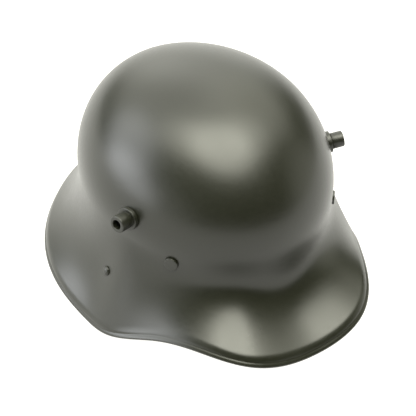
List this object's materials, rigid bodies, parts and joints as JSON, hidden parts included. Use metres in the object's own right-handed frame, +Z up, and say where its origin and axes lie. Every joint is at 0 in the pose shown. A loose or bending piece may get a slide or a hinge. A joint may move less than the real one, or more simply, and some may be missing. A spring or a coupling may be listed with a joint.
{
  "type": "steel combat helmet",
  "caption": "Pressed steel combat helmet with a domed crown, a sloping visor, a stepped rim line, a flared neck skirt and hollow vent lugs on the temples.",
  "frame": {"origin": "centre of the bounding box in plan, on the surface that the rim stands on", "axes": "+Z up, -Y the way the visor faces, -X the wearer's right side"},
  "size_m": [0.2486, 0.3078, 0.1693],
  "materials": {
    "field_paint": "satin dark grey-green field paint"
  },
  "bodies": {
    "root": {"shell": "field_paint", "vent_lug_right": "field_paint", "vent_lug_left": "field_paint", "strap_rivet_right": "field_paint", "strap_rivet_left": "field_paint", "liner_pin_right": "field_paint", "liner_pin_left": "field_paint", "liner_pin_rear": "field_paint"}
  },
  "joints": []
}
